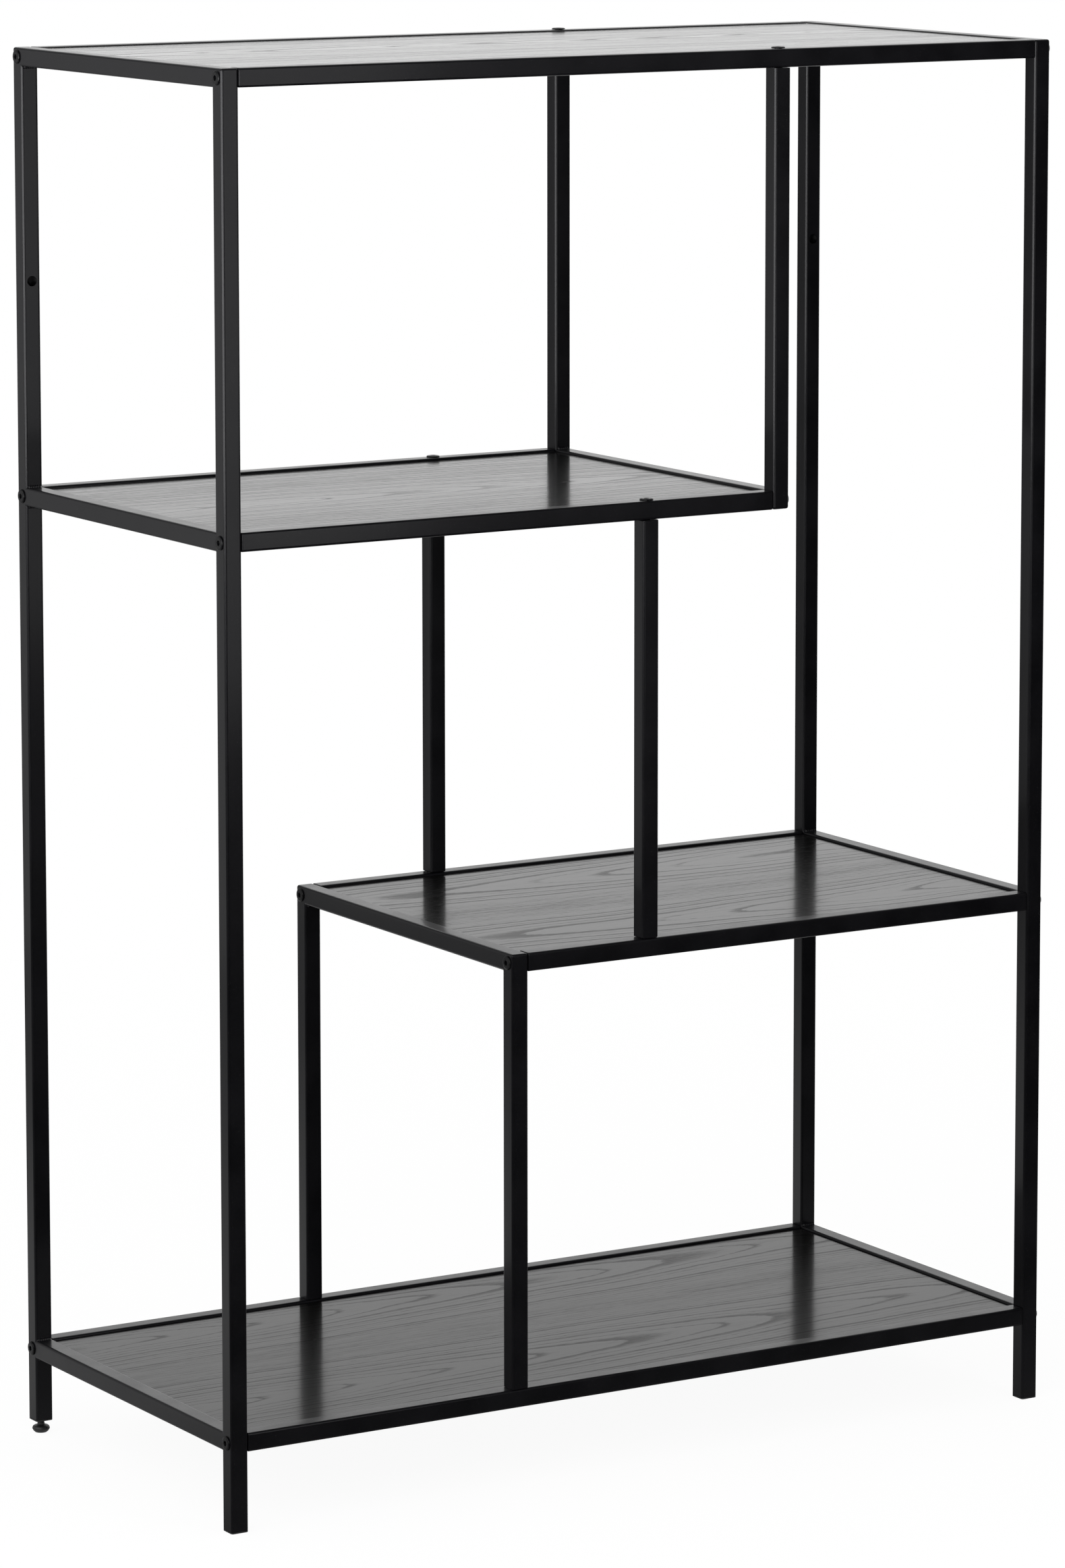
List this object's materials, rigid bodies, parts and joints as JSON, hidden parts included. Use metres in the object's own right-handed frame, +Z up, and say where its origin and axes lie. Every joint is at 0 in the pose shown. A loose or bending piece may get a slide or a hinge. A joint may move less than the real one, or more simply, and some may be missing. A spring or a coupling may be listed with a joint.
{
  "type": "shelving unit",
  "caption": "Open asymmetric shelving unit: black square-tube frames bolted together, with inset wood-grain shelf panels at stepped levels.",
  "frame": {"origin": "on the floor, under the middle of the unit's outer box", "axes": "+X to the right as seen from the front, +Y to the back, +Z up"},
  "size_m": [0.773, 0.35, 1.1415],
  "materials": {
    "powder_coat": "matt black powder coat with a fine texture",
    "black_ash": "black-stained ash grain, satin",
    "black_bolt": "blackened steel, satin",
    "zinc_screw": "zinc plated",
    "black_plastic": "moulded black plastic"
  },
  "bodies": {
    "unit": {"left_side_frame": "powder_coat", "right_side_frame": "powder_coat", "hanging_frame": "powder_coat", "standing_frame": "powder_coat", "top_front_rail": "powder_coat", "top_back_rail": "powder_coat", "upper_front_rail": "powder_coat", "upper_back_rail": "powder_coat", "lower_front_rail": "powder_coat", "lower_back_rail": "powder_coat", "bottom_front_rail": "powder_coat", "bottom_back_rail": "powder_coat", "front_strut": "powder_coat", "back_strut": "powder_coat", "top_panel": "black_ash", "upper_panel": "black_ash", "lower_panel": "black_ash", "bottom_panel": "black_ash", "left_top_front_bolt": "black_bolt", "left_top_back_bolt": "black_bolt", "left_upper_front_bolt": "black_bolt", "left_upper_back_bolt": "black_bolt", "left_bottom_front_bolt": "black_bolt", "left_bottom_back_bolt": "black_bolt", "right_top_front_bolt": "black_bolt", "right_top_back_bolt": "black_bolt", "right_lower_front_bolt": "black_bolt", "right_lower_back_bolt": "black_bolt", "right_bottom_front_bolt": "black_bolt", "right_bottom_back_bolt": "black_bolt", "standing_lower_front_bolt": "black_bolt", "standing_lower_back_bolt": "black_bolt", "hanging_upper_front_bolt": "black_bolt", "hanging_upper_back_bolt": "black_bolt", "hanger_top_front_bolt": "black_bolt", "hanger_top_back_bolt": "black_bolt", "strut_top_front_bolt": "black_bolt", "strut_top_back_bolt": "black_bolt", "strut_base_front_bolt": "black_bolt", "strut_base_back_bolt": "black_bolt", "stand_base_front_bolt": "black_bolt", "stand_base_back_bolt": "black_bolt", "top_panel_front_screw": "zinc_screw", "top_panel_back_screw": "zinc_screw", "upper_panel_front_screw": "zinc_screw", "upper_panel_back_screw": "zinc_screw", "lower_panel_front_screw": "zinc_screw", "lower_panel_back_screw": "zinc_screw", "bottom_panel_front_screw": "zinc_screw", "bottom_panel_back_screw": "zinc_screw", "left_end_plug": "black_plastic", "right_end_plug": "black_plastic", "left_foot_insert": "black_plastic", "right_foot_insert": "black_plastic"},
    "left_foot": {"left_levelling_foot": "black_plastic"},
    "right_foot": {"right_levelling_foot": "black_plastic"}
  },
  "joints": [
    {"name": "left_foot_screw", "type": "slide", "parent": "unit", "child": "left_foot", "axis": [0, 0, -1], "range_m": [-0.0035, 0.01]},
    {"name": "right_foot_screw", "type": "slide", "parent": "unit", "child": "right_foot", "axis": [0, 0, -1], "range_m": [-0.0035, 0.01]}
  ]
}
